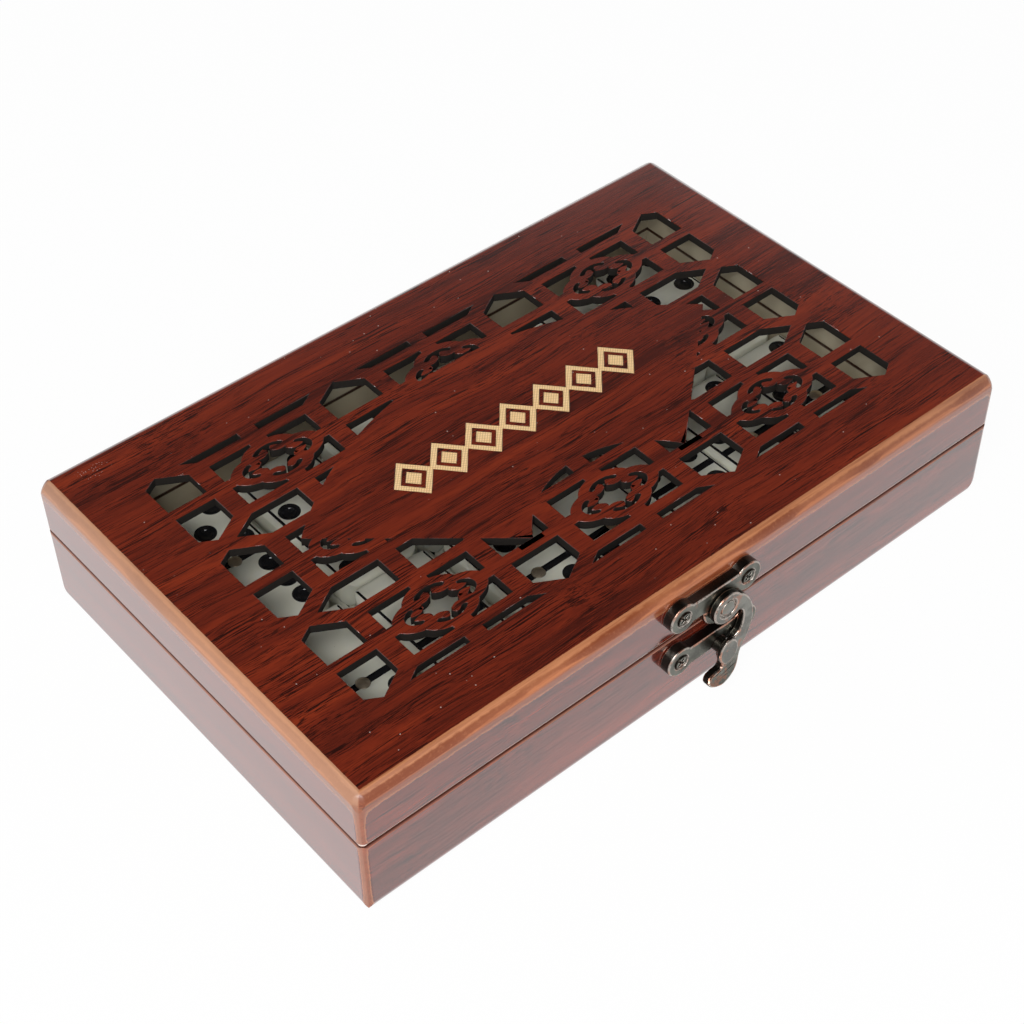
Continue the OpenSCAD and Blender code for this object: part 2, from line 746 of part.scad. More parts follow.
function add_up(list, n) = n < 0 ? 0 : list[n] + add_up(list, n - 1);
function tile_x(column) =
    -inner_l / 2 + spare_l * add_up(SPARE_SHARES, column) + (column + 0.5) * tile_w;
function tile_y(layer, row, column) =
    tiles_dy + (row == 0 ? 1 : -1) * (tile_l + spare_w * row_gap_share) / 2
    + layer * SHIFTS[row][column] * spare_w;
function tile_z(layer) = floor_t + layer * layer_h;

function pips(v) = concat(
    v % 2 == 1 ? [[0, 0]] : [],
    v >= 2 ? [[-1, -1], [1, 1]] : [],
    v >= 4 ? [[-1, 1], [1, -1]] : [],
    v == 6 ? [[-1, 0], [1, 0]] : []
);

// Domino lying face up, its first half towards +Y
module tile(v) {
    color([0.93, 0.89, 0.78]) difference() {
        round_block(tile_w, tile_l, tile_t, tile_corner_r, tile_edge_r, tile_edge_r);
        for (half = [0, 1], p = pips(v[half]))
            translate([p[0] * pip_x, (half == 0 ? 1 : -1) * half_y + p[1] * pip_y, tile_t - pip_deep + pip_ball])
                sphere(pip_ball);
        translate([-bar_l / 2, -bar_t / 2, tile_t - bar_deep]) cube([bar_l, bar_t, 1]);
        translate([0, 0, tile_t - spinner_seat - spinner_clear])
            cylinder(h = 2, r = spinner_head_r + spinner_clear);
        translate([0, 0, tile_t - spinner_l - spinner_clear])
            cylinder(h = spinner_l, r = spinner_r + spinner_clear);
    }
}

// Spinner with its domed head, in the frame of its domino
module spinner() {
    color([0.85, 0.68, 0.33]) {
        translate([0, 0, tile_t - spinner_l]) cylinder(h = spinner_l - spinner_seat + e, r = spinner_r);
        translate([0, 0, tile_t - spinner_seat]) intersection() {
            ball = (pow(spinner_head_r, 2) + pow(spinner_rise, 2)) / (2 * spinner_rise);
            cylinder(h = spinner_seat + spinner_rise, r = spinner_head_r);
            translate([0, 0, spinner_seat + spinner_rise - ball]) sphere(ball, $fn = 96);
        }
    }
}

module at_tile(layer, row, column) {
    translate([tile_x(column), tile_y(layer, row, column), tile_z(layer)]) children();
}

module spinner_pins() {
    for (layer = [0, 1], row = [0, 1], column = [0:tile_columns - 1])
        at_tile(layer, row, column) spinner();
}

// ---- the pieces ----

base_wall(0);  // base_front_wall
base_wall(1);  // base_right_wall
base_wall(2);  // base_back_wall
base_wall(3);  // base_left_wall
base_floor();
lid_wall(0);  // lid_front_wall
lid_wall(1);  // lid_right_wall
lid_wall(2);  // lid_back_wall
lid_wall(3);  // lid_left_wall
lattice_board();
inlay_chain();
inlay_lozenges();
hinge_leaf(-hinge_x, -1);  // hinge_left_base_leaf
hinge_leaf(hinge_x, -1);  // hinge_right_base_leaf
hinge_leaf(-hinge_x, 1);  // hinge_left_lid_leaf
hinge_leaf(hinge_x, 1);  // hinge_right_lid_leaf
hinge_pin(-hinge_x);  // hinge_left_pin
hinge_pin(hinge_x);  // hinge_right_pin
hinge_screws(-1);  // hinge_base_screws
hinge_screws(1);  // hinge_lid_screws
latch_plate();
latch_plate_screws();
latch_rivet();
latch_hook();
catch_plate();
catch_plate_screws();
catch_post();
spinner_pins();
for (layer = [0, 1], row = [0, 1], column = [0:tile_columns - 1])
    at_tile(layer, row, column) tile(TILES[layer][row][column]);
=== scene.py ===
"""Looks of the domino storage box.

Veneered wood, a charred lattice, gilt inlay, an aged bronze latch and ivory dominoes. Everything
is in metres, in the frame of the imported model. The lengths in the tables below, and on the
coordinate sockets of the materials, are in millimetres.
"""

import json
import math

import bmesh
import bpy
from mathutils import Matrix, Vector


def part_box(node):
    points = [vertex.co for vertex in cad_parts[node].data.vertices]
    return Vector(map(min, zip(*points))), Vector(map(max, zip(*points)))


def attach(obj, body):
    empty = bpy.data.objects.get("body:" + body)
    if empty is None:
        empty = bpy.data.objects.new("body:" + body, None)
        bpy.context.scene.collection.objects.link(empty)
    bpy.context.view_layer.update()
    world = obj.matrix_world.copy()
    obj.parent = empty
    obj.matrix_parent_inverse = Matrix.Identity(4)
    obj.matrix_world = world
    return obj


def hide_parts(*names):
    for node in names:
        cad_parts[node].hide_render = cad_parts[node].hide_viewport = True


MM = 0.001

# Copies of CAD meshes: vertices closer than this in metres are one, and faces that meet at less
# than this in degrees are flat
WELD = 2e-6
FLAT = 0.6

# Case: middle of the gap between the rims, thickness of the walls, and the half sizes of the
# field that the lattice's windows lie in
RIM_Z = 23.55
WALL_T = 9.0
LATTICE_HALF = (84.5, 46.0)

# Sanded edges: where the veneer stops on top, at the near and at the far edges, and how far the
# bare wood reaches down from the top, round the upright corners, from the rims and from the foot
BARE_TOP = 2.65
BARE_TOP_FAR = 0.9
BARE_DOWN = 4.3
BARE_CORNER = 1.38
BARE_RIM = 0.80
BARE_FOOT = 1.5
# How sharply two bare strips meet: the larger, the sharper
BARE_BLEND = 2.5

# Rubbed patch on the lid's top: its middle and its half sizes
SCUFF_AT = (-88, 56.5)
SCUFF_HALF = (5.5, 2.6)

# Pitch of the hatch on the gilt inlay
HATCH_PITCH = 0.85

# Latch: the plates' screws, as distance from the middle and height, and the radius of their heads
PLATE_SCREWS = ((10.15, 32.1), (10.15, 17.4))
SCREW_HEAD_R = 1.93

# Dominoes: top of the upper layer and distance between the layers; half the width, half the
# length and the depth of the field that holds the dished pips and the sunk bar; how far below
# the face a side counts as sunk; and the depth of the ring that the cutter leaves in each pip
LAYER_TOP = 20.8
LAYER_H = 8.2
FIELD_HALF_W = 10.4
FIELD_HALF_L = 22.2
FIELD_DEPTH = 1.2
FACE_SKIN = 0.01
PIP_RING_DEPTH = 0.42

# Camera: place, viewing directions, and focal length in pixels of a 1024-pixel frame
CAMERA_AT = (-231.85, -271.36, 366.60)
CAMERA_FORWARD = (0.45347, 0.54340, -0.70646)
CAMERA_RIGHT = (0.76022, -0.64957, -0.01166)
FOCAL_PX = 1995.64
FRAME_PX = 1024
SENSOR_MM = 36.0

# Studio: the floor's side and drop in metres, how bright the box's gloss sees it, how much of its
# shadow the camera doesn't see, the sky's level by height, from the horizon (0) to straight up (1),
# and the lamp's place and size in metres
FLOOR_SIDE = 6
FLOOR_DROP = 0.0002
FLOOR_GLOSS = 1.0
FLOOR_CLEAN = 0.96
SKY = (
    (0.0, 0.90), (0.49, 0.80), (0.54, 0.34), (0.58, 0.18), (0.62, 0.09), (0.66, 0.03), (1.0, 0.01),
)
KEY_AT = (-0.76, -0.62, 1.0)
KEY_SIZE = 0.8
KEY_WATTS = 20.0

# Colours of the wood
RED = (0.150, 0.0175, 0.0068)
BRIGHT_RED = (0.235, 0.0290, 0.0090)
DEEP_RED = (0.075, 0.0100, 0.0050)
STREAK = (0.022, 0.0040, 0.0026)
# TAN also stands for a painted highlight on the upper part of the bare rounded edges
TAN = (0.46, 0.182, 0.079)
# Painted sheen: the paler tan of the bare wood on the sides that face left and right
PAINTED_SIDE_SHEEN = (0.56, 0.33, 0.21)
ORANGE = (0.42, 0.138, 0.050)
BURNT_ORANGE = (0.17, 0.032, 0.005)
RIM_WOOD = (0.090, 0.020, 0.007)
RIM_DARK = (0.045, 0.009, 0.004)
# Painted highlight: the pale line along the lid's lower edge, just above the gap
PAINTED_RIM_HIGHLIGHT = (0.86, 0.74, 0.68)
PAINT = (0.50, 0.44, 0.32)
PAINT_WORN = (0.40, 0.34, 0.24)
# Painted shade: the dark line on the inside paint along the gap between lid and base
PAINTED_GAP_SHADE = (0.035, 0.014, 0.009)
DUST = (0.62, 0.50, 0.45)

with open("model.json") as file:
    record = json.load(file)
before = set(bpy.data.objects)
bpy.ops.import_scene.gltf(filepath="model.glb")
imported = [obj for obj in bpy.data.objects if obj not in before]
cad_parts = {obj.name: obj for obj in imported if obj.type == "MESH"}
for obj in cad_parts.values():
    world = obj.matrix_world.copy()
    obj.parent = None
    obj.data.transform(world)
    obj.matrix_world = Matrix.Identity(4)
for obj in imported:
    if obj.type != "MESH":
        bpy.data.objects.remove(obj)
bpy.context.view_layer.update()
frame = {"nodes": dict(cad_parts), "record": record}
BEHAVIOUR = frame["record"]["behaviour"]
NODES = frame["nodes"]
BODY_OF = {node: body for body, nodes in BEHAVIOUR["bodies"].items() for node in nodes}

# Far upper corner of the lid, which the lattice board reaches on all sides
HALF_L, HALF_W, TOP_Z = (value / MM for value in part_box("lattice_board")[1])


# ---------------------------------------------------------------- node helper


class Shader:
    """Builds one procedural material."""

    def __init__(self, name, **values):
        self.material = bpy.data.materials.new(name)
        self.material.use_nodes = True
        self.tree = self.material.node_tree
        self.bsdf = self.tree.nodes["Principled BSDF"]
        for key, value in values.items():
            self.bsdf.inputs[key.replace("_", " ")].default_value = value
        place = self.add("ShaderNodeTexCoord").outputs["Object"]
        self.place = self.vector("MULTIPLY", place, (1 / MM, 1 / MM, 1 / MM))
        self.x, self.y, self.z = self.split(self.place)
        self.nx, self.ny, self.nz = self.split(self.add("ShaderNodeTexCoord").outputs["Normal"])

    def add(self, kind, props=None, **inputs):
        node = self.tree.nodes.new(kind)
        for key, value in (props or {}).items():
            setattr(node, key, value)
        for key, value in inputs.items():
            self.fill(node.inputs[key.replace("_", " ")], value)
        return node

    def fill(self, socket, value):
        if isinstance(value, bpy.types.NodeSocket):
            self.tree.links.new(value, socket)
        else:
            socket.default_value = value

    def split(self, vector):
        return self.add("ShaderNodeSeparateXYZ", Vector=vector).outputs

    def math(self, operation, a, b=0.0):
        node = self.add("ShaderNodeMath", {"operation": operation})
        self.fill(node.inputs[0], a)
        self.fill(node.inputs[1], b)
        return node.outputs[0]

    def plus(self, a, b):
        return self.math("ADD", a, b)

    def minus(self, a, b):
        return self.math("SUBTRACT", a, b)

    def times(self, a, b):
        return self.math("MULTIPLY", a, b)

    def least(self, a, b):
        return self.math("MINIMUM", a, b)

    def most(self, a, b):
        return self.math("MAXIMUM", a, b)

    def absolute(self, a):
        return self.math("ABSOLUTE", a)

    def vector(self, operation, a, b):
        node = self.add("ShaderNodeVectorMath", {"operation": operation})
        self.fill(node.inputs[0], a)
        self.fill(node.inputs[1], b)
        return node.outputs[0]

    def length(self, vector):
        node = self.add("ShaderNodeVectorMath", {"operation": "LENGTH"}, Vector=vector)
        return node.outputs["Value"]

    def step(self, value, low, high):
        """0 below low, 1 above high, smooth between. With low above high it runs the other way."""
        node = self.add("ShaderNodeMapRange", {"interpolation_type": "SMOOTHSTEP"}, Value=value)
        node.inputs["From Min"].default_value = low
        node.inputs["From Max"].default_value = high
        return node.outputs[0]

    def noise(self, scale, detail=4.0, rough=0.55, distortion=0.0, vector=None):
        """Noise with features per millimetre: one number, or one for each axis."""
        place = vector or self.place
        if isinstance(scale, tuple):
            place = self.vector("MULTIPLY", place, scale)
            scale = 1.0
        node = self.add("ShaderNodeTexNoise", Vector=place, Scale=scale, Detail=detail)
        self.fill(node.inputs["Roughness"], rough)
        self.fill(node.inputs["Distortion"], distortion)
        return node.outputs["Fac"]

    def specks(self, scale, radius):
        """1 in small round specks, scattered irregularly."""
        node = self.add("ShaderNodeTexVoronoi", Vector=self.place, Scale=scale, Randomness=1.0)
        return self.math("LESS_THAN", node.outputs["Distance"], radius)

    def ramp(self, value, *stops):
        node = self.add("ShaderNodeValToRGB", Fac=value)
        fill_ramp(node, stops)
        return node.outputs["Color"]

    def mix(self, factor, a, b):
        """Colour a where the factor is 0, b where it is 1."""
        node = self.add("ShaderNodeMix", {"data_type": "RGBA"})
        self.fill(node.inputs["Factor"], factor)
        for socket, value in ((node.inputs[6], a), (node.inputs[7], b)):
            linked = isinstance(value, bpy.types.NodeSocket)
            self.fill(socket, value if linked else (*value, 1.0))
        return node.outputs[2]

    def between(self, factor, a, b):
        """Number a where the factor is 0, b where it is 1."""
        node = self.add("ShaderNodeMix", {"data_type": "FLOAT"})
        self.fill(node.inputs["Factor"], factor)
        self.fill(node.inputs[2], a)
        self.fill(node.inputs[3], b)
        return node.outputs[0]

    def mix_shader(self, factor, a, b):
        node = self.add("ShaderNodeMixShader")
        for socket, value in zip(node.inputs, (factor, a, b)):
            self.fill(socket, value)
        return node.outputs[0]

    def bump(self, height, strength, depth):
        node = self.add("ShaderNodeBump", Height=height, Strength=strength, Distance=depth * MM)
        self.fill(self.bsdf.inputs["Normal"], node.outputs["Normal"])

    def set(self, **values):
        for key, value in values.items():
            self.fill(self.bsdf.inputs[key.replace("_", " ")], value)
        return self.material


def fill_ramp(node, stops):
    """Gives a colour ramp its stops, (place, colour) each."""
    elements = node.color_ramp.elements
    while len(elements) < len(stops):
        elements.new(0.5)
    for element, (at, colour) in zip(elements, stops):
        element.position = at
        element.color = (*colour, 1.0)


# ---------------------------------------------------------------- wood


def veneer_colour(s, grain, contrast):
    """Rosewood print with its grain along 'X' or 'Y': broad bands, dark streaks in clusters and
    fine dashes. Returns the colour and the streaks."""

    def along(length, across):
        if grain == "X":
            return (1 / length, 1 / across, 1 / across)
        return (1 / across, 1 / length, 1 / across)

    sway = s.vector("MULTIPLY", s.place, along(60, 40))
    swayed = s.add("ShaderNodeTexNoise", Vector=sway, Scale=1.0, Detail=2.0).outputs["Color"]
    swayed = s.vector("MULTIPLY", s.vector("SUBTRACT", swayed, (0.5, 0.5, 0.5)), (6, 6, 6))
    place = s.vector("ADD", s.place, swayed)
    bands = s.noise(along(120, 6), 5, 0.55, vector=place)
    clusters = s.noise(along(45, 3.2), 3, 0.5, vector=place)
    streaks = s.noise(along(19, 0.42), 4, 0.55, vector=place)
    dashes = s.noise(along(8, 0.21), 3, 0.5, vector=place)
    fibres = s.noise(along(24, 0.34), 3, 0.6, vector=place)

    tone = s.ramp(bands, (0.34, DEEP_RED), (0.52, RED), (0.70, BRIGHT_RED))
    tone = s.mix(contrast, RED, tone)
    tone = s.mix(s.times(s.step(fibres, 0.52, 0.72), 0.55), tone, BRIGHT_RED)
    in_cluster = s.step(clusters, 0.40, 0.62)
    dark = s.between(in_cluster, 0.25 * contrast, contrast)
    tone = s.mix(s.times(s.step(streaks, 0.51, 0.59), dark), tone, STREAK)
    fine = s.between(in_cluster, 0.35 * contrast, 0.9 * contrast)
    tone = s.mix(s.times(s.step(dashes, 0.54, 0.62), fine), tone, STREAK)
    return tone, streaks


def bare_edges(s):
    """Where the veneer is sanded through: the lid's rounded edge, upright corners, rims and foot.

    Returns how bare the wood is, from 0 to 1, the thin line along the end of the bare wood, the
    raggedness of both, and 1 on the sides that face left or right, 0 on those in front and behind.
    """
    dx = s.minus(HALF_L, s.absolute(s.x))
    dy = s.minus(HALF_W, s.absolute(s.y))
    dz = s.minus(TOP_Z, s.z)
    ragged = s.minus(s.noise(0.6, 4, 0.65), 0.5)

    total = 0.0
    for distance, width in (
        (dz, BARE_DOWN),
        (s.plus(dx, dy), BARE_CORNER),
        (s.absolute(s.minus(s.z, RIM_Z)), BARE_RIM),
        (s.z, BARE_FOOT),
    ):
        near = s.most(s.math("DIVIDE", distance, width), 0.05)
        total = s.plus(s.math("POWER", near, -BARE_BLEND), total)
    reach = s.plus(s.math("POWER", total, -1 / BARE_BLEND), s.times(ragged, 0.30))
    thinned = s.between(s.step(dz, 3.1, 1.5), 0.42, 1.0)
    side = s.times(s.step(reach, 1.04, 0.92), thinned)
    line = s.times(s.step(reach, 0.90, 0.98), s.step(reach, 1.10, 1.02))

    near_in = s.least(s.plus(s.x, HALF_L), s.plus(s.y, HALF_W))
    far_in = s.least(s.minus(HALF_L, s.x), s.minus(HALF_W, s.y))
    inwards = s.least(near_in, s.plus(far_in, BARE_TOP - BARE_TOP_FAR))
    inwards = s.plus(inwards, s.times(ragged, 0.22))
    edge = s.step(inwards, BARE_TOP + 0.06, BARE_TOP - 0.06)
    sideways = s.step(s.minus(dy, dx), -0.4, 0.4)
    return s.times(side, edge), s.times(line, edge), ragged, sideways


def bare_colour(s, ragged, sideways):
    """Stained board on a rounded edge: tan where it faces up, the stain and a painted highlight, a
    wavering burnt line below it, orange under that. The burnt line is broad near the near corner,
    and the sides that face left and right are painted paler, a painted sheen."""
    fine = s.between(
        sideways, s.noise((0.05, 1.5, 1.5), 4, 0.6), s.noise((1.5, 0.05, 1.5), 4, 0.6)
    )
    slow = s.noise((0.018, 0.018, 0.018), 3, 0.5)
    turn = s.plus(s.nz, s.times(ragged, 0.16))
    turn = s.plus(turn, s.times(s.minus(slow, 0.5), 0.45))
    # Tan where the edge faces up: the stained board and a painted highlight of the rounding
    colour = s.mix(s.step(turn, 0.60, 0.90), ORANGE, TAN)
    colour = s.mix(s.times(s.step(fine, 0.44, 0.66), 0.45), colour, BURNT_ORANGE)

    elsewhere = s.vector("ADD", s.place, (37, 11, 5))
    broad = s.step(s.noise((0.03, 0.03, 0.03), 2, 0.5, vector=elsewhere), 0.46, 0.64)
    near_front = s.times(s.step(s.x, -45, -85), s.step(sideways, 1.0, 0.0))
    near_left = s.times(s.times(s.step(s.y, -38, -60), s.step(s.x, 0, -1)), sideways)
    broad = s.most(broad, s.most(near_front, near_left))
    low_end = s.between(broad, 0.68, 0.36)
    line = s.times(s.step(s.minus(turn, low_end), -0.06, 0.06), s.step(turn, 0.90, 0.80))
    colour = s.mix(s.times(line, s.between(broad, 0.55, 0.90)), colour, BURNT_ORANGE)
    colour = s.mix(s.times(s.step(s.noise(1.3, 4, 0.65), 0.50, 0.75), 0.25), colour, TAN)
    # Painted sheen: the bare wood on the sides that face left and right is painted paler
    return s.mix(s.times(sideways, 0.45), colour, PAINTED_SIDE_SHEEN)


def wall_colour(s, colour):
    """Adds what only the walls have: paint inside with a painted shade at the gap, dark rims and a
    painted highlight just above the gap.
    """
    in_x = s.step(s.absolute(s.x), HALF_L - WALL_T + 0.1, HALF_L - WALL_T + 0.02)
    in_y = s.step(s.absolute(s.y), HALF_W - WALL_T + 0.1, HALF_W - WALL_T + 0.02)
    inside = s.times(in_x, in_y)
    paint = s.mix(s.noise(0.05, 4, 0.6), PAINT, PAINT_WORN)
    # Painted shade: the paint darkens next to the gap between lid and base
    at_rim = s.absolute(s.minus(s.z, RIM_Z))
    paint = s.mix(s.step(at_rim, 0.62, 0.42), paint, PAINTED_GAP_SHADE)
    colour = s.mix(inside, colour, paint)

    # Painted highlight: a pale line on the outside just above the gap, where the lid's rounded
    # lower edge would catch the light
    above = s.minus(s.z, RIM_Z)
    pale = s.times(s.step(above, 0.34, 0.44), s.step(above, 0.88, 0.70))
    pale = s.times(s.times(pale, s.minus(1.0, inside)), 0.7)
    colour = s.mix(pale, colour, PAINTED_RIM_HIGHLIGHT)
    rim_wood = s.mix(s.noise((0.05, 1.2, 1.2), 4, 0.6), RIM_WOOD, RIM_DARK)
    return s.mix(s.step(s.absolute(s.nz), 0.50, 0.78), colour, rim_wood)


def top_marks(s):
    """Scattered dust and a rubbed patch near the back left corner, on the lid's top alone."""
    apart = s.vector("SUBTRACT", s.place, (*SCUFF_AT, TOP_Z))
    scaled = s.vector("MULTIPLY", apart, (1 / SCUFF_HALF[0], 1 / SCUFF_HALF[1], 0))
    scuffed = s.plus(s.length(scaled), s.times(s.noise(0.7, 3, 0.6), 0.8))
    scuff = s.times(s.specks(1.6, 0.16), s.step(scuffed, 1.5, 0.9))
    scattered = s.step(s.noise(0.02, 2, 0.5), 0.40, 0.55)
    dust = s.times(s.specks(0.26, 0.042), scattered)
    marks = s.most(s.times(dust, 0.75), s.times(scuff, 0.90))
    return s.times(marks, s.step(s.nz, 0.9, 0.99))


def veneer(name, grain, contrast, painted=True):
    """Lacquered veneer, sanded through on its edges. The walls are painted on the inside."""
    s = Shader(name, IOR=1.5, Coat_Roughness=0.05, Coat_IOR=1.5)
    wood, streaks = veneer_colour(s, grain, contrast)
    bare, line, ragged, sideways = bare_edges(s)
    colour = s.mix(bare, wood, bare_colour(s, ragged, sideways))
    colour = s.mix(s.times(line, 0.55), colour, TAN)
    if painted:
        colour = wall_colour(s, colour)
    colour = s.mix(top_marks(s), colour, DUST)
    waves = s.noise(0.03, 2, 0.5)
    s.bump(s.plus(s.times(streaks, 0.25), s.times(waves, 0.75)), 0.08, 0.25)
    return s.set(
        Base_Color=colour,
        Coat_Weight=s.between(bare, 1.0, 0.15),
        Roughness=s.between(bare, 0.18, 0.42),
    )


def charred():
    """Laser-cut sides of the lattice."""
    s = Shader("charred_cut", Roughness=0.85, Specular_IOR_Level=0.25)
    soot = s.noise((0.9, 0.9, 2.2), 4, 0.6)
    s.bump(soot, 0.4, 0.08)
    return s.set(Base_Color=s.mix(soot, (0.0040, 0.0034, 0.0028), (0.016, 0.012, 0.009)))


def raw_underside():
    """Bare board on the lattice's underside."""
    s = Shader("raw_board", Roughness=0.75)
    fibre = s.noise((0.08, 0.9, 0.9), 5, 0.6)
    s.bump(fibre, 0.3, 0.1)
    return s.set(Base_Color=s.mix(fibre, (0.24, 0.155, 0.09), (0.13, 0.08, 0.045)))


def inner_wood():
    """Plain stained board of the floor."""
    s = Shader("stained_floor_wood", Roughness=0.6)
    grain = s.noise((0.02, 0.7, 0.7), 5, 0.6, 0.4)
    dark, middle, pale = (0.060, 0.032, 0.020), (0.105, 0.058, 0.035), (0.15, 0.085, 0.05)
    colour = s.ramp(grain, (0.3, dark), (0.5, middle), (0.7, pale))
    s.bump(grain, 0.2, 0.1)
    return s.set(Base_Color=colour)


# ---------------------------------------------------------------- metal and dominoes


def gilt():
    """Gold foil with a fine diamond hatch."""
    s = Shader("gilt_inlay", Metallic=0.1, Roughness=0.42)
    waves = 2 * math.pi / HATCH_PITCH
    slant_a = s.math("SINE", s.times(s.plus(s.x, s.y), waves))
    slant_b = s.math("SINE", s.times(s.minus(s.x, s.y), waves))
    hatch = s.step(s.most(slant_a, slant_b), 0.55, 0.95)
    tone = s.mix(s.noise(0.6, 3, 0.6), (1.0, 0.64, 0.29), (1.0, 0.74, 0.42))
    s.bump(hatch, 0.6, 0.08)
    return s.set(Base_Color=s.mix(s.times(hatch, 0.65), tone, (0.42, 0.24, 0.07)))


def aged_bronze(name, face, rub, screws=()):
    """Blackened cast bronze. Its front is rubbed grey, its sides stay black; rub says how much
    copper shows. A dark ring runs round the edge of each screw head."""
    s = Shader(name, Metallic=1.0)
    patches = s.noise(0.22, 3, 0.5)
    fine = s.noise(2.4, 4, 0.6)
    front = s.step(s.plus(s.absolute(s.ny), s.times(fine, 0.2)), 0.55, 0.95)
    sides = s.mix(fine, (0.020, 0.018, 0.016), (0.085, 0.078, 0.068))
    darker = tuple(0.62 * v for v in face)
    paler = tuple(1.5 * v for v in face)
    grey = s.mix(s.step(patches, 0.40, 0.62), darker, face)
    grey = s.mix(s.times(s.step(fine, 0.5, 0.7), 0.35), grey, paler)
    copper = s.step(s.noise(0.35, 4, 0.6), 0.60 - 0.10 * rub, 0.72 - 0.10 * rub)
    grey = s.mix(s.times(copper, 0.75), grey, (0.34, 0.17, 0.12))
    for x, z in screws:
        flat = s.add("ShaderNodeCombineXYZ", X=s.absolute(s.x), Z=s.z).outputs[0]
        away = s.length(s.vector("SUBTRACT", flat, (x, 0, z)))
        ring = s.absolute(s.minus(away, SCREW_HEAD_R))
        grey = s.mix(s.step(ring, 0.34, 0.20), grey, (0.010, 0.009, 0.008))
    s.bump(s.plus(s.times(fine, 0.12), patches), 0.30, 0.35)
    return s.set(Base_Color=s.mix(front, sides, grey), Roughness=s.between(fine, 0.24, 0.40))


def rubbed_rim():
    """Edges of the bronze, worn down to pale metal with copper in places."""
    s = Shader("bronze_rim", Metallic=1.0)
    fine = s.noise(1.6, 4, 0.6)
    warm = s.step(s.noise(0.30, 3, 0.6), 0.48, 0.60)
    colour = s.mix(warm, (0.40, 0.36, 0.32), (0.46, 0.25, 0.18))
    colour = s.mix(s.times(s.step(fine, 0.52, 0.66), 0.8), colour, (0.07, 0.06, 0.05))
    s.bump(fine, 0.2, 0.08)
    return s.set(Base_Color=colour, Roughness=s.between(fine, 0.22, 0.36))


def aged_brass():
    """Brass of the hinges, tarnished in patches."""
    s = Shader("aged_brass", Metallic=1.0)
    fine = s.noise(1.4, 4, 0.6)
    patches = s.noise(0.25, 4, 0.6)
    colour = s.mix(s.step(patches, 0.45, 0.75), (0.74, 0.56, 0.30), (0.42, 0.29, 0.15))
    s.bump(fine, 0.15, 0.05)
    return s.set(Base_Color=colour, Roughness=s.between(fine, 0.22, 0.42))


def spinner_brass():
    """Pale, finely pitted brass of the dominoes' spinners."""
    s = Shader("spinner_brass", Metallic=0.85)
    fine = s.noise(2.2, 3, 0.6)
    colour = s.mix(fine, (0.66, 0.52, 0.36), (0.95, 0.84, 0.66))
    s.bump(fine, 0.35, 0.12)
    return s.set(Base_Color=colour, Roughness=s.between(fine, 0.22, 0.42))


def ivory():
    """Glossy ivory plastic with a faint mottle."""
    s = Shader("ivory", Roughness=0.22, IOR=1.49, Subsurface_Weight=0.12, Subsurface_Scale=2 * MM)
    s.bsdf.inputs["Subsurface Radius"].default_value = (1.0, 0.8, 0.5)
    mottle = s.noise(0.12, 4, 0.6)
    speck = s.times(s.specks(0.2, 0.018), 0.5)
    colour = s.mix(mottle, (0.78, 0.775, 0.67), (0.70, 0.695, 0.585))
    s.bump(s.noise(0.25, 2, 0.5), 0.06, 0.2)
    return s.set(Base_Color=s.mix(speck, colour, (0.25, 0.22, 0.17)))


def pip_black():
    """Glossy black in the dished pips, with the ring that the cutter leaves halfway down. Heights
    in the lower layer are wrapped up into the upper one."""
    s = Shader("pip_black", Roughness=0.16, IOR=1.5)
    haze = s.noise(0.9, 3, 0.6)
    level = s.math("WRAP", s.z, 0.0)
    level.node.inputs[1].default_value = LAYER_TOP
    level.node.inputs[2].default_value = LAYER_TOP - LAYER_H
    ring = s.step(s.absolute(s.minus(level, LAYER_TOP - PIP_RING_DEPTH)), 0.16, 0.02)
    s.bump(s.plus(ring, s.times(haze, 0.1)), 0.9, 0.16)
    return s.set(Base_Color=s.mix(haze, (0.006, 0.006, 0.007), (0.020, 0.020, 0.022)))


# ---------------------------------------------------------------- pieces


def wear(node, material):
    """Gives a CAD node that stays as it is its finished material."""
    for slot in NODES[node].material_slots:
        slot.material = material


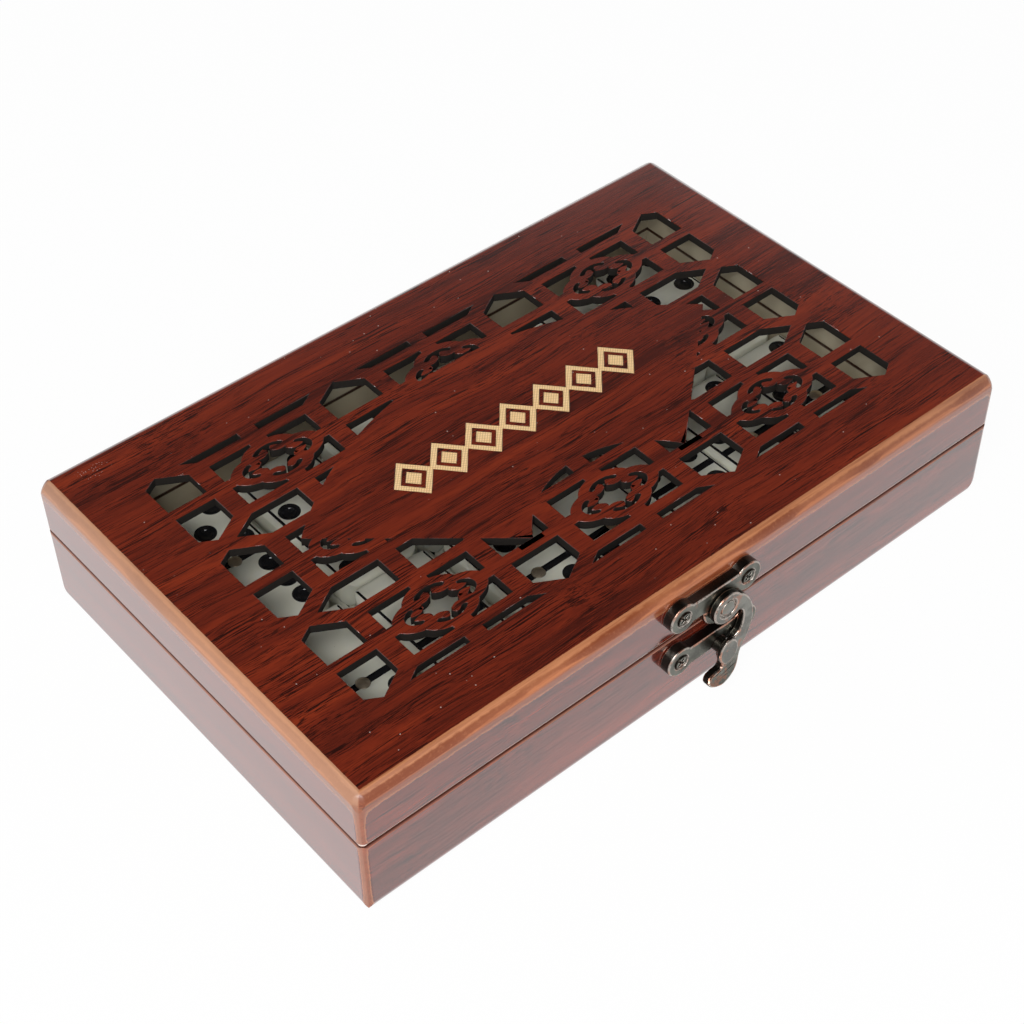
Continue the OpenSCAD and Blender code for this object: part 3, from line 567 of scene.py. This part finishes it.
def dress(
    node, materials, bevel, segments=2, angle=35, pick=None, edges=None, rim=-1, clamp=True
):
    """Replaces a CAD node with a copy whose sharp edges are softened.

    bevel is the width of the softening, and angle is how sharp an edge must be to get it; edges
    picks them instead, where it is given. pick gives each face its material. rim is the material
    of the softened edges, where they have their own. clamp keeps them from meeting one another.
    """
    mesh = NODES[node].data.copy()
    mesh.name = f"{node}_dressed"
    piece = bpy.data.objects.new(f"{node}_dressed", mesh)
    bpy.context.scene.collection.objects.link(piece)
    if mesh.has_custom_normals:
        alone = dict(object=piece, active_object=piece, selected_objects=[piece])
        with bpy.context.temp_override(**alone):
            bpy.ops.mesh.customdata_custom_splitnormals_clear()
    mesh.materials.clear()
    for material in materials:
        mesh.materials.append(material)
    bm = bmesh.new()
    bm.from_mesh(mesh)
    bmesh.ops.remove_doubles(bm, verts=bm.verts, dist=WELD)
    if not edges:
        bmesh.ops.dissolve_limit(
            bm,
            angle_limit=math.radians(FLAT),
            use_dissolve_boundaries=False,
            verts=bm.verts,
            edges=bm.edges,
        )
    bm.normal_update()
    for face in bm.faces:
        face.smooth = True
        face.material_index = pick(face) if pick else 0
    for edge in bm.edges:
        if len(edge.link_faces) == 2 and edge.calc_face_angle(0.0) > math.radians(angle):
            edge.smooth = False
    if edges:
        weight = bm.edges.layers.float.new("bevel_weight_edge")
        for edge in bm.edges:
            edge[weight] = 1.0 if edges(edge) else 0.0
    bm.to_mesh(mesh)
    bm.free()
    soft = piece.modifiers.new("softened", "BEVEL")
    soft.width = bevel * MM
    soft.segments = segments
    soft.limit_method = "WEIGHT" if edges else "ANGLE"
    soft.angle_limit = math.radians(angle)
    soft.harden_normals = True
    soft.material = rim
    soft.use_clamp_overlap = clamp
    soft.miter_outer = "MITER_ARC"
    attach(piece, BODY_OF[node])
    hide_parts(node)


def board_side(face):
    """Material of a face of the lattice board: 0 veneer, 1 the cuts, 2 the underside."""
    if face.normal.z < -0.5:
        return 2
    at = face.calc_center_median() / MM
    in_field = abs(at.x) < LATTICE_HALF[0] and abs(at.y) < LATTICE_HALF[1]
    return 1 if in_field and face.normal.z < 0.5 else 0


def window_edge(edge):
    """True for the upper edges of the lattice's windows."""
    at = (edge.verts[0].co + edge.verts[1].co) / 2 / MM
    on_top = at.z > TOP_Z - 0.05
    return on_top and len(edge.link_faces) == 2 and edge.calc_face_angle(0.0) > 1.0


def case():
    along = veneer("veneer_along", "X", 0.9)
    across = veneer("veneer_across", "Y", 0.45)
    for part in ("base", "lid"):
        for side in ("front", "back"):
            wear(f"{part}_{side}_wall", along)
        for side in ("left", "right"):
            wear(f"{part}_{side}_wall", across)
    wear("base_floor", inner_wood())
    board = [veneer("veneer_lattice", "X", 1.0, painted=False), charred(), raw_underside()]
    windows = dict(segments=1, pick=board_side, edges=window_edge, rim=0, clamp=False)
    dress("lattice_board", board, 0.10, **windows)
    gold = gilt()
    for node in ("inlay_chain", "inlay_lozenges"):
        wear(node, gold)


def dominoes():
    body, black = ivory(), pip_black()
    for node in [n for n in NODES if n.startswith("domino_")]:
        low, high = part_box(node)
        middle = (Vector(low) + Vector(high)) / 2
        top = high[2]

        def sunk(face, middle=middle, top=top):
            """1 in the pips and the bar, 0 on the ivory."""
            at = face.calc_center_median()
            in_width = abs(at.x - middle.x) < FIELD_HALF_W * MM
            in_length = abs(at.y - middle.y) < FIELD_HALF_L * MM
            below = top - FIELD_DEPTH * MM < at.z < top - FACE_SKIN * MM
            return 1 if in_width and in_length and below else 0

        dress(node, [body, black], 0.12, angle=25, pick=sunk)
    dress("spinner_pins", [spinner_brass()], 0.05)


def hardware():
    rim = rubbed_rim()
    plates = [aged_bronze("bronze_plates", (0.155, 0.160, 0.135), 0.3, PLATE_SCREWS), rim]
    rubbed = [aged_bronze("bronze_rubbed", (0.215, 0.215, 0.190), 0.7), rim]
    cast = dict(segments=3, angle=50, rim=1, clamp=False)
    for node in ("latch_plate", "catch_plate"):
        dress(node, plates, 0.40, **cast)
    for node in ("latch_plate_screws", "catch_plate_screws"):
        dress(node, plates, 0.08, rim=1)
    dress("latch_hook", rubbed, 0.45, **cast)
    dress("latch_rivet", rubbed, 0.2, **cast)
    dress("catch_post", rubbed, 0.40, **cast)
    brass = aged_brass()
    for side in ("left", "right"):
        for part in ("base_leaf", "lid_leaf", "pin"):
            wear(f"hinge_{side}_{part}", brass)
    for part in ("base", "lid"):
        dress(f"hinge_{part}_screws", [brass], 0.06)


# ---------------------------------------------------------------- studio


def floor_paper():
    """White studio floor. The camera and the box's gloss see it plain white; it keeps a faint
    shadow."""
    s = Shader("studio_floor", Base_Color=(0.88, 0.88, 0.88, 1.0), Roughness=0.9)
    rays = s.add("ShaderNodeLightPath")
    seen = s.add("ShaderNodeEmission", Color=(1.0, 0.985, 0.985, 1.0), Strength=FLOOR_GLOSS)
    plain = s.add("ShaderNodeEmission", Color=(1.0, 1.0, 1.0, 1.0), Strength=1.0)
    look = s.mix_shader(rays.outputs["Is Glossy Ray"], s.bsdf.outputs[0], seen.outputs[0])
    to_camera = s.times(rays.outputs["Is Camera Ray"], FLOOR_CLEAN)
    look = s.mix_shader(to_camera, look, plain.outputs[0])
    s.fill(s.tree.nodes["Material Output"].inputs["Surface"], look)
    return s.material


def floor():
    bpy.ops.mesh.primitive_plane_add(size=FLOOR_SIDE, location=(0, 0, -FLOOR_DROP))
    sheet = bpy.context.object
    sheet.name = "studio_floor"
    sheet.data.materials.append(floor_paper())


def sky():
    """Pale all round, bright near the horizon and dimmer overhead."""
    world = bpy.data.worlds.new("studio")
    bpy.context.scene.world = world
    world.use_nodes = True
    tree = world.node_tree
    place = tree.nodes.new("ShaderNodeTexCoord")
    split = tree.nodes.new("ShaderNodeSeparateXYZ")
    ramp = tree.nodes.new("ShaderNodeValToRGB")
    tree.links.new(place.outputs["Generated"], split.inputs[0])
    tree.links.new(split.outputs["Z"], ramp.inputs["Fac"])
    fill_ramp(ramp, [(at, (level, level, level)) for at, level in SKY])
    tree.links.new(ramp.outputs["Color"], tree.nodes["Background"].inputs["Color"])


def key_lamp():
    data = bpy.data.lights.new("key", "AREA")
    data.shape = "DISK"
    data.size = KEY_SIZE
    data.energy = KEY_WATTS
    light = bpy.data.objects.new("key", data)
    bpy.context.scene.collection.objects.link(light)
    light.location = KEY_AT
    light.rotation_euler = (-Vector(KEY_AT)).to_track_quat("-Z", "Y").to_euler()


def camera():
    data = bpy.data.cameras.new("camera")
    eye = bpy.data.objects.new("camera", data)
    bpy.context.scene.collection.objects.link(eye)
    forward = Vector(CAMERA_FORWARD).normalized()
    right = Vector(CAMERA_RIGHT).normalized()
    up = right.cross(forward)
    turn = Matrix((right, up, -forward)).transposed().to_4x4()
    eye.matrix_world = Matrix.Translation(Vector(CAMERA_AT) * MM) @ turn
    data.sensor_width = SENSOR_MM
    data.lens = FOCAL_PX / FRAME_PX * SENSOR_MM
    data.clip_start = 0.01
    bpy.context.scene.camera = eye


camera()
case()
dominoes()
hardware()
floor()
sky()
key_lamp()
bpy.context.scene.view_settings.view_transform = "Standard"
